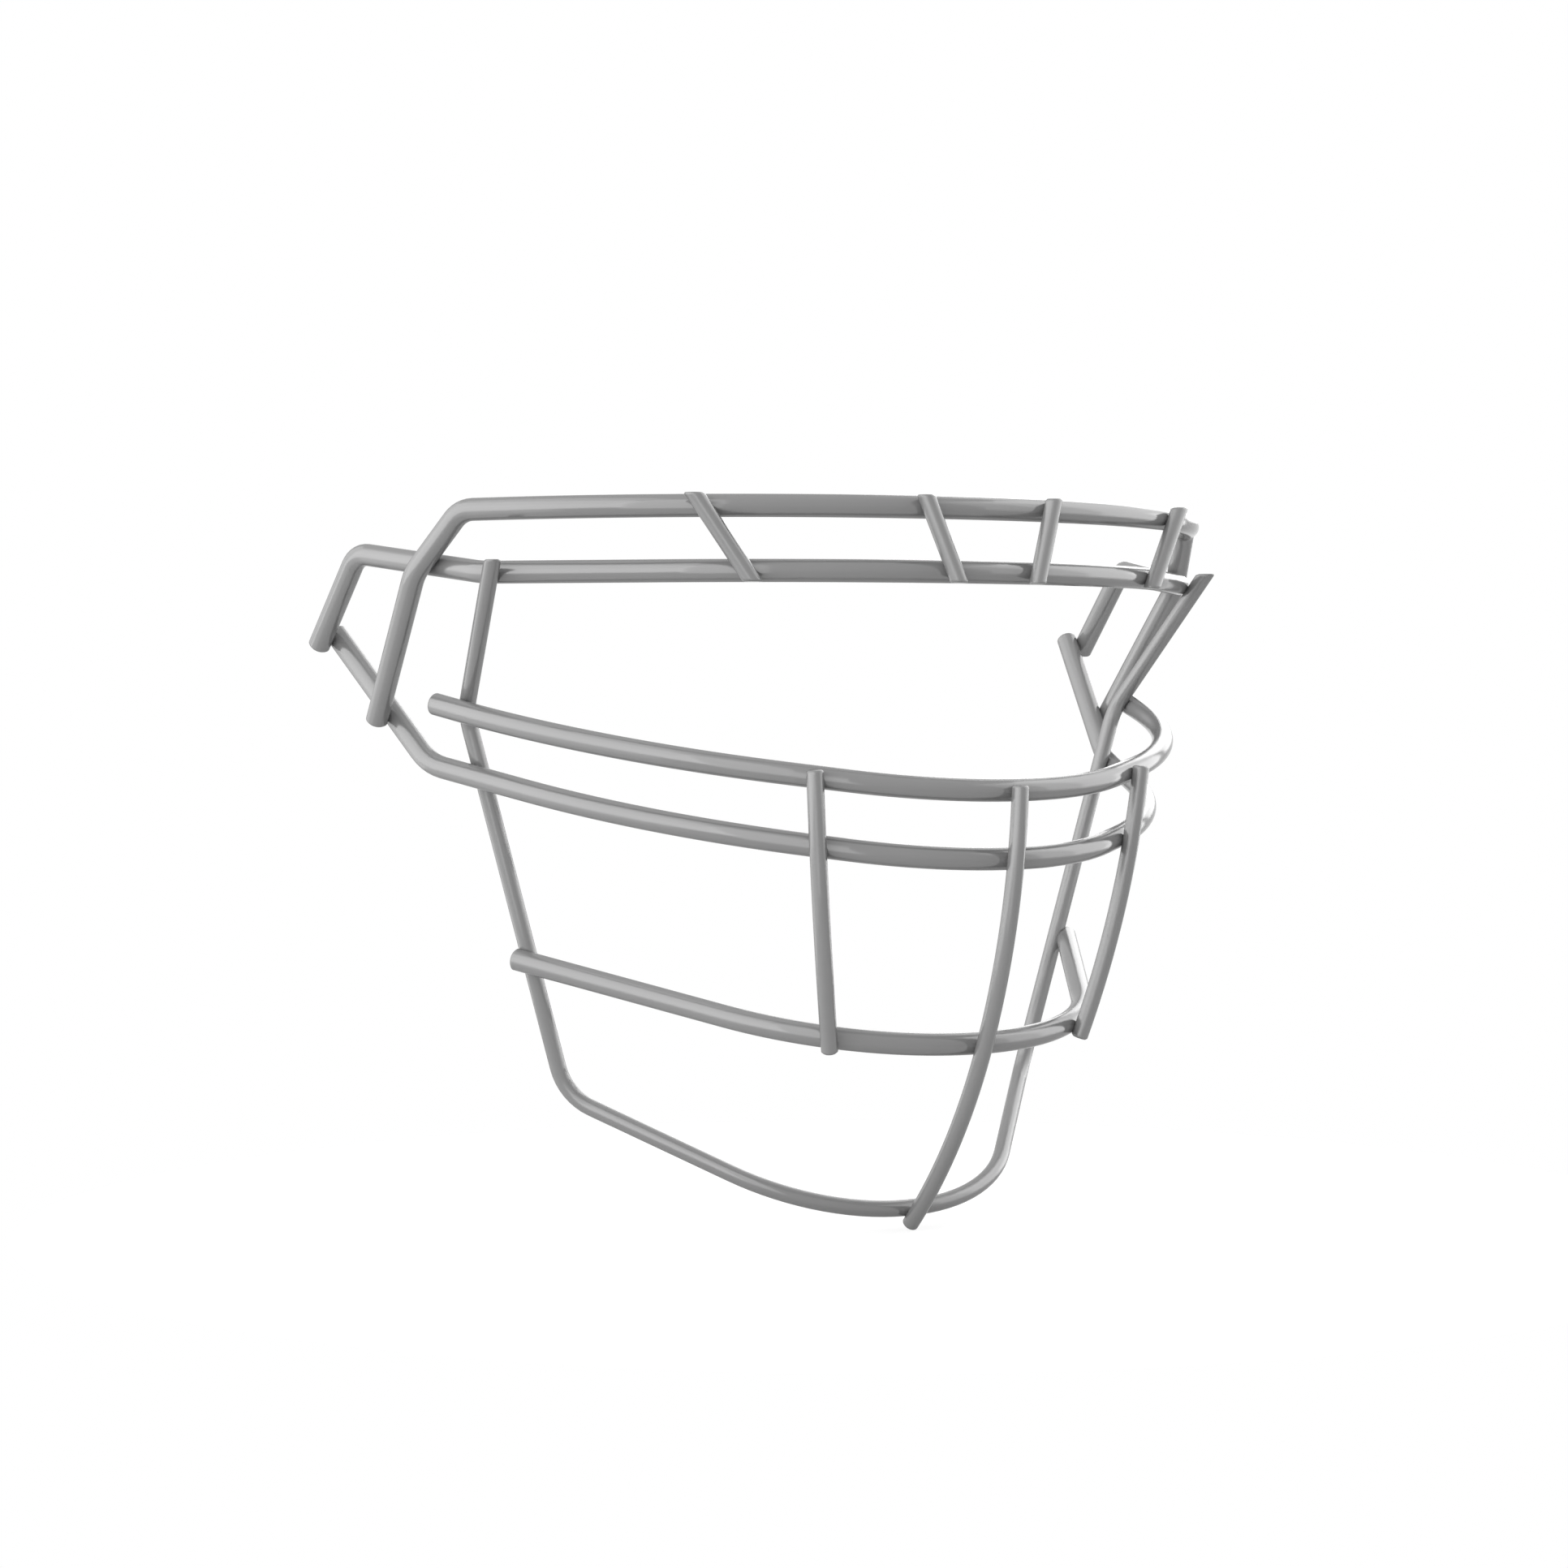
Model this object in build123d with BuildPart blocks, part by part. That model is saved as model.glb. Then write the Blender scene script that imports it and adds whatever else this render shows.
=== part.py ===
"""Football helmet facemask: a cage of bent round wires, resistance welded where they cross.

Frame: millimetres. The origin is the middle of the upper brow bar, on the wire's axis.
+X is the wearer's left, -Y is the front, +Z is up. The mask is symmetric about X = 0.

Each wire is a run of straights joined by tangent bends, as it leaves a wire bender, and its
corner points are given for the left half, from the middle outwards. A wire that crosses
others is laid over them: the place of each crossing is a named size, and the wire's own
corners and ends follow from it. The wire laid last gets a shallow saddle on the one below.
"""
import os
from math import radians, sqrt, tan

from build123d import *

# Wire stock, sizes over the coat
thick_wire = 5.7             # brow, nose, cheek and chin bars
thin_wire = 4.3              # jaw bar, uprights and brow struts
end_bevel = 0.4              # bevel on the edge of each cut end

# Welds
set_down = 0.3              # how far two crossing wires sink into each other
chin_set_down = 1.8          # the same where the chin bar crosses the jaw bar, pressed harder
nugget_height = 0.8          # weld metal, across the seam
nugget_share = 0.68          # its radius, as a share of the narrowest seam's half width

# Upper brow bar
upper_front_half = 71.8      # middle to the corner of the front bend
upper_side_x = 112.6         # corner where it turns down
upper_side_y = 64.7
upper_side_dip = 0.4
upper_side_radius = 7.7
upper_knee_radius = 13.6     # small bend below the lower brow bar
upper_knee_past = 3.8        # that bend, beyond the crossing
upper_overhang = 0.8         # cut end beyond its crossing with the cheek bar

# Lower brow bar
lower_drop = 15.9            # below the upper brow bar, axis to axis
lower_reach = 2.1            # ahead of it
lower_front_half = 45.4
lower_kink_x = 108.2         # slight bend just behind the jaw bar's top
lower_kink_y = 61.3
lower_kink_radius = 10.7
lower_side_x = 121.6         # corner where it turns down
lower_side_y = 105.9
lower_side_rise = 5.8        # that corner above the front
lower_side_radius = 7.9
lower_overhang = 2.3         # cut end beyond its crossing with the cheek bar

# Nose bar
nose_drop = 69.8
nose_reach = 11.4
nose_front_half = 21.9
nose_side_x = 90.9
nose_side_y = 32.8
nose_side_rise = 9.9
nose_side_radius = 135.8
nose_overhang = 7.3

# Cheek bar
cheek_drop = 86.8
cheek_reach = 9.6
cheek_front_half = 21.2
cheek_side_x = 79.4
cheek_side_y = 28.8
cheek_side_rise = 8.7
cheek_side_radius = 133.2
cheek_knee_past = 13.3       # upward bend, beyond its crossing with the jaw bar
cheek_knee_radius = 15.7
cheek_end_x = 117.8
cheek_end_y = 128.1
cheek_end_drop = 30.1
cheek_overhang = 1.7         # that end beyond its crossing with the lower brow bar

# Chin bar
chin_drop = 133.7
chin_setback = 4.3
chin_front_half = 36.5
chin_overhang = 2.4

# Jaw bar
jaw_drop = 178.7
jaw_setback = 34.6
jaw_front_half = 26.4
jaw_corner_x = 72.2
jaw_corner_y = 86.0
jaw_corner_drop = 150.4
jaw_corner_radius = 13.8
jaw_knee_x = 102.0
jaw_knee_y = 83.4
jaw_knee_drop = 50.7
jaw_knee_radius = 13.5
jaw_to_kink = 2.6            # its crossing with the lower brow bar, ahead of that bar's kink

# Where wires cross: how far below the upper brow bar on the jaw bar,
# or how far out from the middle on the bars that the uprights and struts tie
nose_on_jaw_drop = 48.3
cheek_on_jaw_drop = 65.3
chin_on_jaw_drop = 113.9
upper_on_lower_y = 76.9
upper_on_cheek_y = 106.7
outer_strut_on_upper_x = 69.2
outer_strut_on_lower_x = 59.3
inner_strut_on_upper_x = 17.9
inner_strut_on_lower_x = 12.4
upright_on_nose_x = 46.5
upright_on_cheek_x = 44.6
upright_on_chin_x = 35.9
upright_overhang = 2.4       # uprights beyond their top and bottom crossings
centre_overhang = 1.8        # centre upright, the same

bend_share = 0.98            # how much of its straights a front bend may take
halvings = 40                # steps that find a place on a bent wire
settling_rounds = 4          # rounds that settle the centre upright on the jaw bar
overrun = 10.0               # extra length that a flush cut takes off


def turn_tangent(before, corner, after, radius):
    """Length of straight that a bend of this radius takes on either side of its corner."""
    turn = (corner - before).get_angle(after - corner)
    return radius * tan(radians(turn) / 2)


def front_radius(corner, after, taken):
    """Radius of the front bend: it fills the half front, or the side run less what is taken."""
    middle = Vector(0, corner.Y, corner.Z)
    room = min(corner.X, (after - corner).length - taken)
    turn = (corner - middle).get_angle(after - corner)
    return bend_share * room / tan(radians(turn) / 2)


def whole(half):
    """Corner points of a whole wire from those of its left half, middle first."""
    return [Vector(-p.X, p.Y, p.Z) for p in reversed(half)] + half


def bent_path(half, radii):
    """Path of a wire that is alike on both sides, with one bend radius for each corner."""
    with BuildLine() as path:
        FilletPolyline(*whole(half), radius=[*reversed(radii), *radii])
    return path.wire()


def spot(path, axis, value):
    """Point and direction where the left half of a path reaches a value along an axis."""
    low, high = 0.5, 1.0
    for _ in range(halvings):
        middle = (low + high) / 2
        if (path @ middle).dot(axis.direction) < value:
            low = middle
        else:
            high = middle
    return path @ low, path % low


def over(start, crossed, gap, outward):
    """Where a straight wire from start passes over a round one, gap apart axis to axis."""
    point, along = crossed
    reach = point - start
    across = reach - along * reach.dot(along)
    toward = across.normalized()
    side = along.cross(toward)
    if side.dot(outward) < 0:
        side = -side
    lean = gap / across.length
    return point + (side * sqrt(1 - lean**2) - toward * lean) * gap


def beside(crossed, along, gap, outward):
    """Axis point of a wire that runs along a given direction over a crossed wire."""
    point, crossed_along = crossed
    normal = crossed_along.cross(along).normalized()
    if normal.dot(outward) < 0:
        normal = -normal
    return point + normal * gap


def beyond(start, through, length):
    """Point on the line from start through another point, a length past it."""
    return through + (through - start).normalized() * length


def seat(crossed, contact, crossed_wire):
    """Plane of the seam between two crossing wires, its normal from the inner to the outer."""
    point, _ = crossed
    normal = (contact - point).normalized()
    return Plane(point + normal * crossed_wire / 2, z_dir=normal)


def other_side(plane):
    """The same seam on the wearer's right."""
    at, normal = plane.origin, plane.z_dir
    return Plane((-at.X, at.Y, at.Z), z_dir=(-normal.X, normal.Y, normal.Z))


def both(planes):
    """The seams of the left half and their mirror images."""
    return planes + [other_side(plane) for plane in planes]


def section(path):
    """Plane square to a path at its start."""
    return Plane(path @ 0, z_dir=path % 0)


left = Vector(1, 0, 0)
front = Vector(0, -1, 0)
thick_on_thin = (thick_wire + thin_wire) / 2 - set_down
thick_on_thick = thick_wire - set_down
thin_on_thin = thin_wire - set_down
chin_on_thin = (thick_wire + thin_wire) / 2 - chin_set_down

# Paths. The jaw bar comes first: its legs stand on named corners, and its top lies
# over the lower brow bar's front run.
lower_corner = Vector(lower_front_half, -lower_reach, -lower_drop)
lower_kink = Vector(lower_kink_x, lower_kink_y, -lower_drop)
lower_side = Vector(lower_side_x, lower_side_y, lower_side_rise - lower_drop)
lower_run = (lower_kink - lower_corner).normalized()
lower_under_jaw = (lower_kink - lower_run * jaw_to_kink, lower_run)

jaw_corner_1 = Vector(jaw_front_half, jaw_setback, -jaw_drop)
jaw_corner_2 = Vector(jaw_corner_x, jaw_corner_y, -jaw_corner_drop)
jaw_knee = Vector(jaw_knee_x, jaw_knee_y, -jaw_knee_drop)
jaw_at_lower = over(jaw_knee, lower_under_jaw, thick_on_thin, front)
jaw_top = beyond(jaw_knee, jaw_at_lower, overrun)
jaw_taken = turn_tangent(jaw_corner_1, jaw_corner_2, jaw_knee, jaw_corner_radius)
jaw_path = bent_path(
    [jaw_corner_1, jaw_corner_2, jaw_knee, jaw_top],
    [front_radius(jaw_corner_1, jaw_corner_2, jaw_taken), jaw_corner_radius, jaw_knee_radius],
)

# Nose, cheek and chin bars pass outside the jaw bar's legs
jaw_under_nose = spot(jaw_path, Axis.Z, -nose_on_jaw_drop)
jaw_under_cheek = spot(jaw_path, Axis.Z, -cheek_on_jaw_drop)
jaw_under_chin = spot(jaw_path, Axis.Z, -chin_on_jaw_drop)

nose_corner = Vector(nose_front_half, -nose_reach, -nose_drop)
nose_side = Vector(nose_side_x, nose_side_y, nose_side_rise - nose_drop)
nose_at_jaw = over(nose_side, jaw_under_nose, thick_on_thin, left)
nose_end = beyond(nose_side, nose_at_jaw, nose_overhang)
nose_taken = turn_tangent(nose_corner, nose_side, nose_end, nose_side_radius)
nose_path = bent_path(
    [nose_corner, nose_side, nose_end],
    [front_radius(nose_corner, nose_side, nose_taken), nose_side_radius],
)

cheek_corner = Vector(cheek_front_half, -cheek_reach, -cheek_drop)
cheek_side = Vector(cheek_side_x, cheek_side_y, cheek_side_rise - cheek_drop)
cheek_at_jaw = over(cheek_side, jaw_under_cheek, thick_on_thin, left)
cheek_knee = beyond(cheek_side, cheek_at_jaw, cheek_knee_past)
cheek_end = Vector(cheek_end_x, cheek_end_y, -cheek_end_drop)
cheek_taken = turn_tangent(cheek_corner, cheek_side, cheek_knee, cheek_side_radius)
cheek_path = bent_path(
    [cheek_corner, cheek_side, cheek_knee, cheek_end],
    [front_radius(cheek_corner, cheek_side, cheek_taken), cheek_side_radius, cheek_knee_radius],
)

chin_corner = Vector(chin_front_half, chin_setback, -chin_drop)
chin_at_jaw = over(chin_corner, jaw_under_chin, chin_on_thin, left)
chin_end = beyond(chin_corner, chin_at_jaw, chin_overhang)
chin_path = bent_path([chin_corner, chin_end], [front_radius(chin_corner, chin_end, 0)])

# The lower brow bar drops outside the cheek bar's end, and the upper one outside both
cheek_run = (cheek_end - cheek_knee).normalized()
cheek_under_lower = (cheek_end - cheek_run * cheek_overhang, cheek_run)
lower_at_cheek = over(lower_side, cheek_under_lower, thick_on_thick, left)
lower_end = beyond(lower_side, lower_at_cheek, lower_overhang)
lower_taken = turn_tangent(lower_corner, lower_kink, lower_side, lower_kink_radius)
lower_path = bent_path(
    [lower_corner, lower_kink, lower_side, lower_end],
    [front_radius(lower_corner, lower_kink, lower_taken), lower_kink_radius, lower_side_radius],
)

lower_under_upper = spot(lower_path, Axis.Y, upper_on_lower_y)
cheek_under_upper = spot(cheek_path, Axis.Y, upper_on_cheek_y)
upper_corner = Vector(upper_front_half, 0, 0)
upper_side = Vector(upper_side_x, upper_side_y, -upper_side_dip)
upper_at_lower = over(upper_side, lower_under_upper, thick_on_thick, left)
upper_knee = beyond(upper_side, upper_at_lower, upper_knee_past)
upper_at_cheek = over(upper_knee, cheek_under_upper, thick_on_thick, left)
upper_end = beyond(upper_knee, upper_at_cheek, upper_overhang)
upper_taken = turn_tangent(upper_corner, upper_side, upper_knee, upper_side_radius)
upper_path = bent_path(
    [upper_corner, upper_side, upper_knee, upper_end],
    [front_radius(upper_corner, upper_side, upper_taken), upper_side_radius, upper_knee_radius],
)

# Uprights lie over the bars, one arc through their crossings
nose_under_upright = spot(nose_path, Axis.X, upright_on_nose_x)
cheek_under_upright = spot(cheek_path, Axis.X, upright_on_cheek_x)
chin_under_upright = spot(chin_path, Axis.X, upright_on_chin_x)
upper_lean = cheek_under_upright[0] - nose_under_upright[0]
whole_lean = chin_under_upright[0] - nose_under_upright[0]
lower_lean = chin_under_upright[0] - cheek_under_upright[0]
upright_at_nose = beside(nose_under_upright, upper_lean, thick_on_thin, front)
upright_at_cheek = beside(cheek_under_upright, whole_lean, thick_on_thin, front)
upright_at_chin = beside(chin_under_upright, lower_lean, thick_on_thin, front)

with BuildLine() as upright_line:
    over_bars = ThreePointArc(upright_at_nose, upright_at_cheek, upright_at_chin)
    Line(over_bars @ 0, over_bars @ 0 - over_bars % 0 * upright_overhang)
    Line(over_bars @ 1, over_bars @ 1 + over_bars % 1 * upright_overhang)
upright_path = upright_line.wire()

# The centre upright goes on to the jaw bar with a second, tangent arc. Where it touches the
# jaw bar depends on that arc's own slope there, so the two are settled in a few rounds.
nose_middle, cheek_middle = nose_path @ 0.5, cheek_path @ 0.5
chin_middle, jaw_middle = chin_path @ 0.5, jaw_path @ 0.5
centre_at_nose = beside((nose_middle, left), cheek_middle - nose_middle, thick_on_thin, front)
centre_at_cheek = beside((cheek_middle, left), chin_middle - nose_middle, thick_on_thin, front)
centre_at_chin = beside((chin_middle, left), jaw_middle - cheek_middle, thick_on_thin, front)
slope_at_jaw = jaw_middle - chin_middle
for _ in range(settling_rounds):
    centre_at_jaw = beside((jaw_middle, left), slope_at_jaw, thin_on_thin, front)
    with BuildLine() as centre_line:
        over_bars = ThreePointArc(centre_at_nose, centre_at_cheek, centre_at_chin)
        Line(over_bars @ 0, over_bars @ 0 - over_bars % 0 * centre_overhang)
        to_jaw = TangentArc(over_bars @ 1, centre_at_jaw, tangent=over_bars % 1)
        Line(to_jaw @ 1, to_jaw @ 1 + to_jaw % 1 * centre_overhang)
    slope_at_jaw = to_jaw % 1
centre_path = centre_line.wire()


def strut_crossings(upper_x, lower_x):
    """Crossings of a strut with the brow bars: the two crossed spots, and its points there."""
    upper_spot = spot(upper_path, Axis.X, upper_x)
    lower_spot = spot(lower_path, Axis.X, lower_x)
    lean = lower_spot[0] - upper_spot[0]
    upper_point = beside(upper_spot, lean, thick_on_thin, front)
    lower_point = beside(lower_spot, lean, thick_on_thin, front)
    return upper_spot, upper_point, lower_spot, lower_point


outer_strut = strut_crossings(outer_strut_on_upper_x, outer_strut_on_lower_x)
inner_strut = strut_crossings(inner_strut_on_upper_x, inner_strut_on_lower_x)

# Seams, with the inner wire first. Each group is one kind of crossing, on both sides.
strut_on_upper = [seat(s[0], s[1], thick_wire) for s in (outer_strut, inner_strut)]
strut_on_lower = [seat(s[2], s[3], thick_wire) for s in (outer_strut, inner_strut)]
jaw_crossbars = [
    seat(jaw_under_nose, nose_at_jaw, thin_wire),
    seat(jaw_under_cheek, cheek_at_jaw, thin_wire),
    seat(jaw_under_chin, chin_at_jaw, thin_wire),
]
mouth_uprights = [
    seat(nose_under_upright, upright_at_nose, thick_wire),
    seat(cheek_under_upright, upright_at_cheek, thick_wire),
    seat(chin_under_upright, upright_at_chin, thick_wire),
]
centre_seams = [
    seat((nose_middle, left), centre_at_nose, thick_wire),
    seat((cheek_middle, left), centre_at_cheek, thick_wire),
    seat((chin_middle, left), centre_at_chin, thick_wire),
    seat((jaw_middle, left), centre_at_jaw, thin_wire),
]
seams = {
    "upper_brow_strut_welds": both(strut_on_upper),
    "lower_brow_strut_welds": both(strut_on_lower),
    "brow_side_welds": both([seat(lower_under_upper, upper_at_lower, thick_wire)]),
    "upper_brow_cheek_welds": both([seat(cheek_under_upper, upper_at_cheek, thick_wire)]),
    "lower_brow_cheek_welds": both([seat(cheek_under_lower, lower_at_cheek, thick_wire)]),
    "jaw_to_brow_welds": both([seat(lower_under_jaw, jaw_at_lower, thick_wire)]),
    "jaw_crossbar_welds": both(jaw_crossbars),
    "upright_welds": both(mouth_uprights) + centre_seams,
}

# Weld metal: one flat nugget across each seam, inside the narrowest part of the contact
seam_half_width = sqrt(thin_wire * set_down - set_down**2)
nugget_radius = nugget_share * seam_half_width
welds = {}
for group, places in seams.items():
    with BuildPart() as nuggets:
        with BuildSketch(*[place.offset(-nugget_height / 2) for place in places]):
            Circle(nugget_radius)
        extrude(amount=nugget_height)
    nuggets.part.label = group
    welds[group] = nuggets.part

# Jaw bar, its tops cut level with the top of the lower brow bar
with BuildPart() as jaw_bar:
    with BuildSketch(section(jaw_path)):
        Circle(thin_wire / 2)
    sweep(path=jaw_path)
    split(bisect_by=Plane.XY.offset(thick_wire / 2 - lower_drop), keep=Keep.BOTTOM)
    chamfer(jaw_bar.faces().filter_by(GeomType.PLANE).edges(), end_bevel)
    for group in ("jaw_to_brow_welds", "jaw_crossbar_welds", "upright_welds"):
        add(welds[group], mode=Mode.SUBTRACT)
jaw_bar.part.label = "jaw_bar"

with BuildPart() as nose_bar:
    with BuildSketch(section(nose_path)):
        Circle(thick_wire / 2)
    sweep(path=nose_path)
    chamfer(nose_bar.faces().filter_by(GeomType.PLANE).edges(), end_bevel)
    add(jaw_bar.part, mode=Mode.SUBTRACT)
    for group in ("jaw_crossbar_welds", "upright_welds"):
        add(welds[group], mode=Mode.SUBTRACT)
nose_bar.part.label = "nose_bar"

with BuildPart() as cheek_bar:
    with BuildSketch(section(cheek_path)):
        Circle(thick_wire / 2)
    sweep(path=cheek_path)
    chamfer(cheek_bar.faces().filter_by(GeomType.PLANE).edges(), end_bevel)
    add(jaw_bar.part, mode=Mode.SUBTRACT)
    for group in (
        "jaw_crossbar_welds", "upright_welds", "upper_brow_cheek_welds", "lower_brow_cheek_welds"
    ):
        add(welds[group], mode=Mode.SUBTRACT)
cheek_bar.part.label = "cheek_bar"

with BuildPart() as chin_bar:
    with BuildSketch(section(chin_path)):
        Circle(thick_wire / 2)
    sweep(path=chin_path)
    chamfer(chin_bar.faces().filter_by(GeomType.PLANE).edges(), end_bevel)
    add(jaw_bar.part, mode=Mode.SUBTRACT)
    for group in ("jaw_crossbar_welds", "upright_welds"):
        add(welds[group], mode=Mode.SUBTRACT)
chin_bar.part.label = "chin_bar"

with BuildPart() as lower_brow_bar:
    with BuildSketch(section(lower_path)):
        Circle(thick_wire / 2)
    sweep(path=lower_path)
    chamfer(lower_brow_bar.faces().filter_by(GeomType.PLANE).edges(), end_bevel)
    add([cheek_bar.part, jaw_bar.part], mode=Mode.SUBTRACT)
    for group in (
        "lower_brow_cheek_welds", "jaw_to_brow_welds", "brow_side_welds", "lower_brow_strut_welds"
    ):
        add(welds[group], mode=Mode.SUBTRACT)
lower_brow_bar.part.label = "lower_brow_bar"

with BuildPart() as upper_brow_bar:
    with BuildSketch(section(upper_path)):
        Circle(thick_wire / 2)
    sweep(path=upper_path)
    chamfer(upper_brow_bar.faces().filter_by(GeomType.PLANE).edges(), end_bevel)
    add([cheek_bar.part, lower_brow_bar.part], mode=Mode.SUBTRACT)
    for group in ("upper_brow_cheek_welds", "brow_side_welds", "upper_brow_strut_welds"):
        add(welds[group], mode=Mode.SUBTRACT)
upper_brow_bar.part.label = "upper_brow_bar"

with BuildPart() as centre_upright:
    with BuildSketch(section(centre_path)):
        Circle(thin_wire / 2)
    sweep(path=centre_path)
    chamfer(centre_upright.faces().filter_by(GeomType.PLANE).edges(), end_bevel)
    for bar in (nose_bar, cheek_bar, chin_bar, jaw_bar):
        add(bar.part, mode=Mode.SUBTRACT)
    add(welds["upright_welds"], mode=Mode.SUBTRACT)
centre_upright.part.label = "centre_upright"

with BuildPart() as left_mouth_upright:
    with BuildSketch(section(upright_path)):
        Circle(thin_wire / 2)
    sweep(path=upright_path)
    chamfer(left_mouth_upright.faces().filter_by(GeomType.PLANE).edges(), end_bevel)
    for bar in (nose_bar, cheek_bar, chin_bar):
        add(bar.part, mode=Mode.SUBTRACT)
    add(welds["upright_welds"], mode=Mode.SUBTRACT)
left_mouth_upright.part.label = "left_mouth_upright"


def brow_strut(crossings):
    """Strut in front of both brow bars, cut level with the top of one, the bottom of the other."""
    _, upper_point, _, lower_point = crossings
    top = beyond(lower_point, upper_point, overrun)
    bottom = beyond(upper_point, lower_point, overrun)
    with BuildLine() as line:
        Line(top, bottom)
    with BuildPart() as strut:
        with BuildSketch(section(line.wire())):
            Circle(thin_wire / 2)
        sweep(path=line.wire())
        split(bisect_by=Plane.XY.offset(thick_wire / 2), keep=Keep.BOTTOM)
        split(bisect_by=Plane.XY.offset(-thick_wire / 2 - lower_drop), keep=Keep.TOP)
        chamfer(strut.faces().filter_by(GeomType.PLANE).edges(), end_bevel)
        for bar in (upper_brow_bar, lower_brow_bar):
            add(bar.part, mode=Mode.SUBTRACT)
        for group in ("upper_brow_strut_welds", "lower_brow_strut_welds"):
            add(welds[group], mode=Mode.SUBTRACT)
    return strut.part


left_outer_brow_strut = brow_strut(outer_strut)
left_outer_brow_strut.label = "left_outer_brow_strut"
left_inner_brow_strut = brow_strut(inner_strut)
left_inner_brow_strut.label = "left_inner_brow_strut"

# The wearer's right has the same short wires, mirrored
right_wires = []
for wire in (left_mouth_upright.part, left_outer_brow_strut, left_inner_brow_strut):
    with BuildPart() as right_wire:
        mirror(wire, about=Plane.YZ)
    right_wire.part.label = wire.label.replace("left", "right")
    right_wires.append(right_wire.part)

bars = [upper_brow_bar, lower_brow_bar, nose_bar, cheek_bar, chin_bar, jaw_bar]
uprights = [centre_upright, left_mouth_upright]
wires = [piece.part for piece in bars + uprights]
wires += [left_outer_brow_strut, left_inner_brow_strut, *right_wires]

os.makedirs("parts", exist_ok=True)
for piece in [*wires, *welds.values()]:
    export_step(piece, f"parts/{piece.label}.step")
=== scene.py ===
# %% [markdown]
# # A welded wire facemask in a white studio
#
# The object is a cage of bent steel wires under one smooth coat of grey gloss paint.
# Its wires come from the CAD model, at their real place and size in metres, so this
# script doesn't bend or move any of them. What it adds is the finish, the light and
# the camera.

import math

import bpy
import numpy as np
from mathutils import Matrix, Vector


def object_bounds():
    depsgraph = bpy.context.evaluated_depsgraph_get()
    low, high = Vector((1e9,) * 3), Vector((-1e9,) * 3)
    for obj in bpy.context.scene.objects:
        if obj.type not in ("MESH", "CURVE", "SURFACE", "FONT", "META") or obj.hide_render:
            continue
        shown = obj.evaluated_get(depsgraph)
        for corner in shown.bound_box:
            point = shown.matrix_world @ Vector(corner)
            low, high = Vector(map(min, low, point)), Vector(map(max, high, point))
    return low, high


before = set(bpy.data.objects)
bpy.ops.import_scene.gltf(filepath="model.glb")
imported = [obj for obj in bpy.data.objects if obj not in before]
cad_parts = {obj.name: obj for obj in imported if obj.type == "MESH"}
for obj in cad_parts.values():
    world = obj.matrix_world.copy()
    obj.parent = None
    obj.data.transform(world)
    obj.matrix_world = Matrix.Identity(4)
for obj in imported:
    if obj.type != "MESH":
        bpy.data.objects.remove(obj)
cad_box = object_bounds()
print("wires and weld groups:", len(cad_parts))
print("box of the mask in metres:", cad_box)

# %% [markdown]
# The weld metal lies sealed between the wires, where no eye and no camera reaches it.
# It is told apart by name, because it gets bare steel, while every wire gets the coat.

# %% Tell wires from welds
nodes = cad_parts
wires = {name: nodes[name] for name in nodes if not name.endswith("_welds")}
welds = {name: nodes[name] for name in nodes if name.endswith("_welds")}
print("wires:", sorted(wires))
print("weld groups:", sorted(welds))


# %% [markdown]
# A material in Blender is a graph of nodes, and so is the world. Small helpers keep these
# graphs readable: one adds a node and sets its sockets by name, and one joins two
# sockets. Their first value, the owner, is the material or the world that holds the graph.

# %% Node helpers
def add(owner, kind, **values):
    """Adds a node and sets its sockets by name, with spaces written as underscores."""
    node = owner.node_tree.nodes.new(kind)
    for key, value in values.items():
        node.inputs[key.replace("_", " ")].default_value = value
    return node


def join(owner, source, target):
    """Joins an output socket to an input socket."""
    owner.node_tree.links.new(source, target)


def new_material(name):
    """An empty node material with its output and one Principled shader already joined."""
    material = bpy.data.materials.new(name)
    material.use_nodes = True
    material.node_tree.nodes.clear()
    shader = add(material, "ShaderNodeBsdfPrincipled")
    output = add(material, "ShaderNodeOutputMaterial")
    join(material, shader.outputs["BSDF"], output.inputs["Surface"])
    return material, shader


# %% [markdown]
# Real surfaces vary a little from place to place. Noise does that here. It is read in
# Object coordinates, which are real metres on this model, so its lumps have the same size
# on a thick bar and on a thin one. A second helper brings its 0 to 1 into a wanted range.

# %% Noise helpers
def metres(material):
    """Socket with the place on the piece, in metres."""
    return add(material, "ShaderNodeTexCoord").outputs["Object"]


def noise(material, place, **values):
    """Socket of a noise field at a place; its Scale counts lumps in a metre."""
    field = add(material, "ShaderNodeTexNoise", **values)
    join(material, place, field.inputs["Vector"])
    return field.outputs["Fac"]


def between(owner, source, low, high):
    """Socket that takes a value from 0 to 1 over to the range from low to high."""
    ruler = add(owner, "ShaderNodeMapRange", To_Min=low, To_Max=high)
    join(owner, source, ruler.inputs["Value"])
    return ruler.outputs["Result"]


# %% [markdown]
# Gloss paint on wire is never one flat grey. The coat is a little thicker in some places,
# so its tone drifts softly along a bar. Three equal channels keep the drift a pure grey.

# %% Tone of the coat
coat_grey = 0.30
tone_drift = 0.010
drift_scale = 28.0


def drifting_grey(material, place):
    """Socket of the paint's colour: grey, a touch lighter or darker from place to place."""
    lumps = noise(material, place, Scale=drift_scale, Detail=3.0, Roughness=0.5)
    tone = between(material, lumps, coat_grey - tone_drift, coat_grey + tone_drift)
    grey = add(material, "ShaderNodeCombineColor")
    for channel in ("Red", "Green", "Blue"):
        join(material, tone, grey.inputs[channel])
    return grey.outputs["Color"]


print("grey of the coat:", coat_grey, "give or take", tone_drift)

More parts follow.
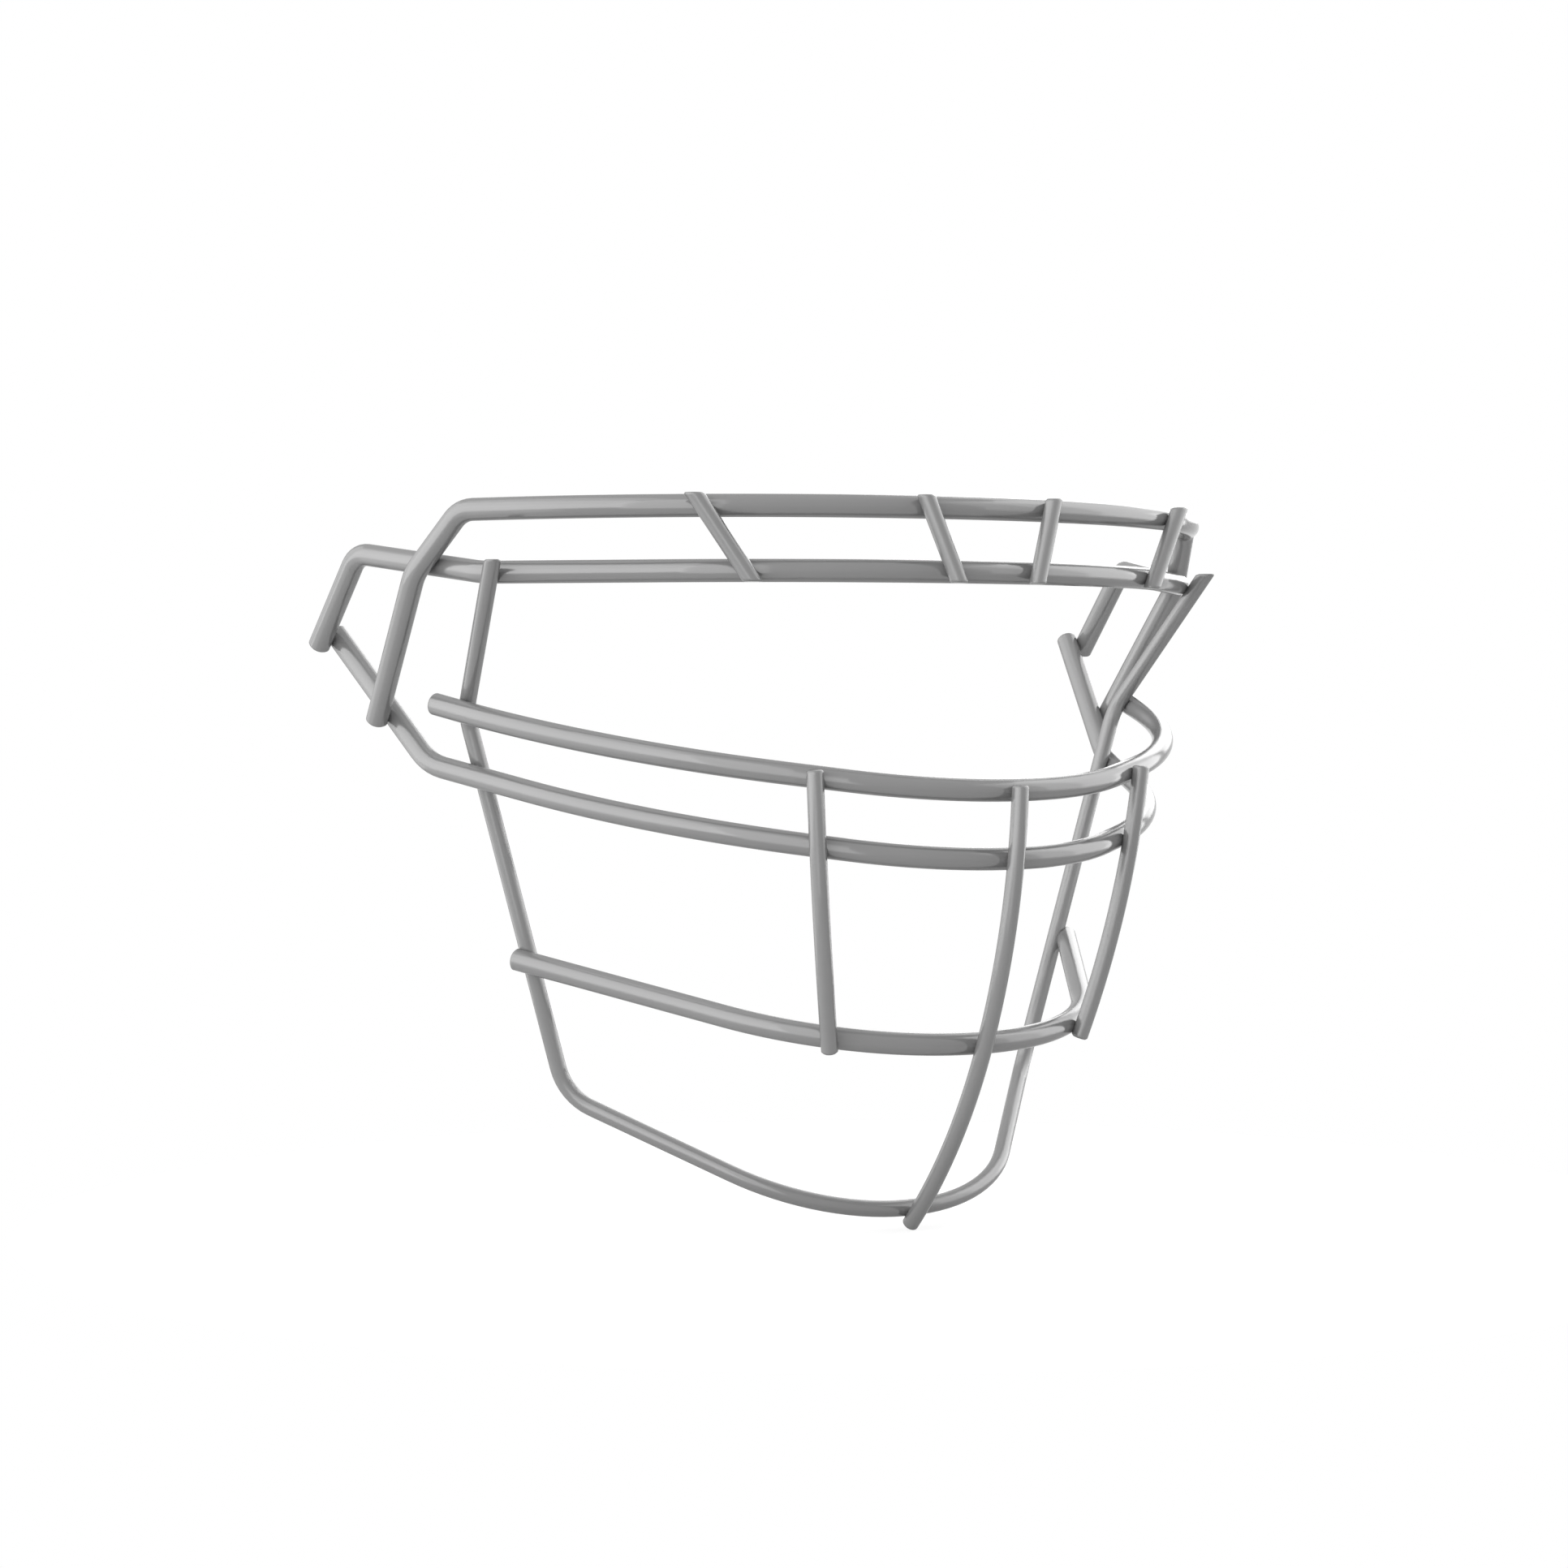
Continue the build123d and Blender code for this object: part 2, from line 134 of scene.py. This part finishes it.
# %% [markdown]
# The skin of such paint mirrors the lights with a slightly soft edge, softer in some
# places than in others. It is also faintly wavy, as painters know from orange peel. The
# waves are about a micrometre high: enough to bend the edge of a reflection, and far too
# little to see as a bump.
#
# The coat flowed over each cut end and rounded it. The bevel node bends the normals near
# an edge in the same way, and it leaves the mesh as it is.

# %% Skin of the coat
gloss_scale = 90.0
gloss_low, gloss_high = 0.09, 0.12
peel_size = 0.0016
peel_height = 0.0000012
peel_strength = 0.5
edge_round = 0.0008


def softness(material, place):
    """Socket of the roughness, which drifts between two near values."""
    lumps = noise(material, place, Scale=gloss_scale, Detail=2.0, Roughness=0.6)
    return between(material, lumps, gloss_low, gloss_high)


def peeled_skin(material, place):
    """Socket of the normal: rounded at the edges, then tilted by the orange peel."""
    edge = add(material, "ShaderNodeBevel", Radius=edge_round)
    waves = noise(material, place, Scale=1.0 / peel_size, Detail=1.0)
    skin = add(material, "ShaderNodeBump", Strength=peel_strength, Distance=peel_height)
    join(material, edge.outputs["Normal"], skin.inputs["Normal"])
    join(material, waves, skin.inputs["Height"])
    return skin.outputs["Normal"]


print("orange peel, lumps in a metre:", round(1.0 / peel_size))

# %% [markdown]
# The edges of each wire look darker than its face, as on paint with fine metal flakes
# in it. So the shader is partly metallic, and its specular tint is dark. On the metallic
# share this tint dims the mirror towards grazing angles. On the clear share it quiets
# the reflection face on, so the clear gloss shows only as a thin line at the very rim.
# These three are alike all over the wire, so they are set on the shader's own sockets.

# %% The grey coat
flake_share = 0.30
edge_tint = 0.25
clear_gloss = 0.4


def grey_gloss_coat():
    """Smooth grey paint with a soft drift of tone and a faintly wavy, darkening skin."""
    material, shader = new_material("grey_gloss_coat")
    place = metres(material)
    join(material, drifting_grey(material, place), shader.inputs["Base Color"])
    join(material, softness(material, place), shader.inputs["Roughness"])
    join(material, peeled_skin(material, place), shader.inputs["Normal"])
    shader.inputs["Metallic"].default_value = flake_share
    shader.inputs["Specular IOR Level"].default_value = clear_gloss
    shader.inputs["Specular Tint"].default_value = (edge_tint, edge_tint, edge_tint, 1.0)
    return material


def dress(pieces, material):
    """Gives every piece one material in place of what it came with."""
    for piece in pieces.values():
        piece.data.materials.clear()
        piece.data.materials.append(material)
    print(material.name, "on", len(pieces), "nodes")


dress(wires, grey_gloss_coat())

# %% [markdown]
# Weld metal froze from a melt, so it is bare, dull steel with a fine grain. It is hidden,
# but a finish costs little and keeps the piece honest when somebody opens the model.

# %% Weld steel
weld_grey = 0.42
grain_scale = 2600.0
grain_dull_low, grain_dull_high = 0.40, 0.60


def weld_steel():
    """Bare steel with a fine frozen grain in its dullness."""
    material, shader = new_material("weld_steel")
    grain = noise(material, metres(material), Scale=grain_scale, Detail=3.0)
    dullness = between(material, grain, grain_dull_low, grain_dull_high)
    join(material, dullness, shader.inputs["Roughness"])
    shader.inputs["Base Color"].default_value = (weld_grey, weld_grey, weld_grey, 1.0)
    shader.inputs["Metallic"].default_value = 1.0
    return material


dress(welds, weld_steel())

# %% [markdown]
# The photograph was taken with a longish lens from the wearer's front right, almost at
# the height of the bars. An 85 mm lens on a 36 mm sensor is a frame that a photographer
# knows. The camera's own axes are worked out from two angles: how far it has gone round
# the object, and how much it looks down.

# %% Camera
camera_place = Vector((-0.5238, -0.7618, -0.0450))
camera_round = math.radians(-31.43)
camera_tilt = math.radians(1.46)
lens_mm = 85.0
sensor_mm = 36.0


def aim(place, around, tilt):
    """Matrix of a camera at a place that looks along a heading and a tilt, upright."""
    back = Vector((
        math.sin(around) * math.cos(tilt),
        -math.cos(around) * math.cos(tilt),
        math.sin(tilt),
    ))
    right = Vector((math.cos(around), math.sin(around), 0.0))
    up = back.cross(right)
    turn = Matrix((right, up, back)).transposed()
    return Matrix.Translation(place) @ turn.to_4x4()


camera_data = bpy.data.cameras.new("camera")
camera_data.lens = lens_mm
camera_data.sensor_width = sensor_mm
camera = bpy.data.objects.new("camera", camera_data)
bpy.context.collection.objects.link(camera)
camera.matrix_world = aim(camera_place, camera_round, camera_tilt)
bpy.context.scene.camera = camera
print("camera distance from the origin:", round(camera_place.length, 3))


# %% [markdown]
# In a product picture the background is plain white, yet it mustn't flood the object with
# light. Blender can tell what kind of ray looks at a surface. So the floor and the sky
# are white to the camera and to the mirror of the paint, and much dimmer as lights.

# %% White only where it is seen
def larger(owner, first, second):
    """Socket with the larger of two values."""
    node = add(owner, "ShaderNodeMath")
    node.operation = "MAXIMUM"
    join(owner, first, node.inputs[0])
    join(owner, second, node.inputs[1])
    return node.outputs["Value"]


def seen_directly(owner):
    """Socket that is 1 for rays from the camera, from a mirror or through glass."""
    ray = add(owner, "ShaderNodeLightPath").outputs
    mirrored = larger(owner, ray["Is Glossy Ray"], ray["Is Transmission Ray"])
    return larger(owner, ray["Is Camera Ray"], mirrored)


# %% [markdown]
# The mask stands over a plain disc that touches the lowest bend of the jaw bar. The disc
# glows nearly white where it is seen, and the light that falls on it makes up the rest,
# so the wires still leave their soft shadow there. It is kept small, because a wide floor
# would shut out the low light that reaches the undersides of the bars.

# %% Floor
floor_level = cad_box[0][2]
floor_middle = 0.055
floor_reach = 0.22
floor_grey = 0.30
floor_glow = 0.77


def floor_disc(level, middle, reach, corners=96):
    """A flat disc: x = reach cos t, y = middle + reach sin t, for equal steps of t."""
    turns = np.linspace(0.0, 2.0 * np.pi, corners, endpoint=False)
    across, along = reach * np.cos(turns), middle + reach * np.sin(turns)
    ring = np.column_stack([across, along, np.full(corners, level)])
    mesh = bpy.data.meshes.new("studio_floor")
    mesh.from_pydata(ring.tolist(), [], [list(range(corners))])
    disc = bpy.data.objects.new("studio_floor", mesh)
    bpy.context.collection.objects.link(disc)
    return disc


def white_floor():
    """Matt floor paint that glows nearly white where it is seen."""
    material, shader = new_material("white_floor")
    shader.inputs["Base Color"].default_value = (floor_grey, floor_grey, floor_grey, 1.0)
    shader.inputs["Roughness"].default_value = 0.9
    shader.inputs["Specular IOR Level"].default_value = 0.1
    shader.inputs["Emission Color"].default_value = (1.0, 1.0, 1.0, 1.0)
    glow = between(material, seen_directly(material), 0.0, floor_glow)
    join(material, glow, shader.inputs["Emission Strength"])
    return material


floor = floor_disc(floor_level, floor_middle, floor_reach)
floor.data.materials.append(white_floor())
print("floor level:", floor_level)

# %% [markdown]
# The sky closes the studio all round. As a light it only fills the shadows, and a dim
# value keeps the greys from washing out.

# %% World
sky_light = 0.29

world = bpy.data.worlds.new("studio_world")
world.use_nodes = True
world.node_tree.nodes.clear()
bpy.context.scene.world = world
sky = add(world, "ShaderNodeBackground", Color=(1.0, 1.0, 1.0, 1.0))
sky_output = add(world, "ShaderNodeOutputWorld")
join(world, between(world, seen_directly(world), sky_light, 1.0), sky.inputs["Strength"])
join(world, sky.outputs["Background"], sky_output.inputs["Surface"])
print("sky as a light:", sky_light)

# %% [markdown]
# On gloss paint a light is seen twice: as a soft brightening, and as its own mirrored
# outline. So each soft box is described by the patch of sky that it fills, seen from the
# middle of the mask: the turn of its middle from the camera, its half width, and the
# heights of its lower and upper edge, all in degrees. Its glow is given for its area, so
# a box keeps its brightness when its size changes, and the lamp's power follows.

# %% How a soft box is hung
middle_of_mask = Vector((0.0, 0.05, -0.09))
box_distance = 2.5


def height_of(edge):
    """Height over the mask's middle at which a box's edge is seen at an angle."""
    return box_distance * math.tan(math.radians(edge))


def soft_box(name, turn, spread, low, high, glow):
    """A flat upright light that fills a patch of the sky round the mask."""
    heading = camera_round + math.radians(turn)
    outward = Vector((math.sin(heading), -math.cos(heading), 0.0))
    data = bpy.data.lights.new(name, "AREA")
    data.shape = "RECTANGLE"
    data.size = 2.0 * box_distance * math.tan(math.radians(spread))
    data.size_y = height_of(high) - height_of(low)
    data.energy = glow * math.pi * data.size * data.size_y
    box = bpy.data.objects.new(name, data)
    bpy.context.collection.objects.link(box)
    rise = Vector((0.0, 0.0, (height_of(low) + height_of(high)) / 2))
    box.location = middle_of_mask + outward * box_distance + rise
    box.rotation_euler = (-outward).to_track_quat("-Z", "Y").to_euler()
    return box


print("a box seen 55 degrees high is hung up to", round(height_of(55.0), 2), "m")

# %% [markdown]
# Left and right are the picture's. The left light is a tall wall in four bands, brightest
# at the height of the mask, which puts the broad light band on every bar. The right light
# is three boxes that overlap, each narrower and further round than the last, so it grows
# brighter towards the back. The boxes behind the mask turn the bends of its far side white.
#
# Two boxes with the same turn lie in one plane. They are stacked edge to edge, because a
# mirrored ray counts only one of two lamps that overlap in one plane, and the picture
# turns grainy there.

# %% Soft boxes
# Name, turn, half width, lower edge, upper edge, glow.
soft_box("left_box", -62.0, 40.0, -16.0, 28.0, 1.9)
soft_box("left_upper", -62.0, 40.0, 28.0, 55.0, 1.6)
soft_box("left_low", -80.0, 40.0, -45.0, -16.0, 0.4)
soft_box("left_high", -70.0, 45.0, 56.0, 76.0, 0.8)
soft_box("front_strip", -11.0, 12.0, -26.0, 60.0, 1.1)
soft_box("back_left_box", -120.0, 18.0, -26.0, 45.0, 0.95)
soft_box("right_box", 104.5, 40.5, -10.0, 55.0, 0.6)
soft_box("right_core", 112.5, 32.5, -10.0, 55.0, 0.75)
soft_box("right_heart", 122.5, 22.5, -10.0, 55.0, 0.8)
soft_box("right_rim", 135.0, 10.0, -10.0, 20.0, 1.2)
soft_box("high_back_rim", 155.0, 10.0, 20.0, 55.0, 1.5)
soft_box("back_glow", 163.0, 14.0, 6.0, 30.0, 2.6)
print("power in watts:", {light.name: round(light.energy, 1) for light in bpy.data.lights})

# %% [markdown]
# The colours should come out about as they are written, so the view transform is the
# plain one.

# %% Finish
bpy.context.scene.view_settings.view_transform = "Standard"
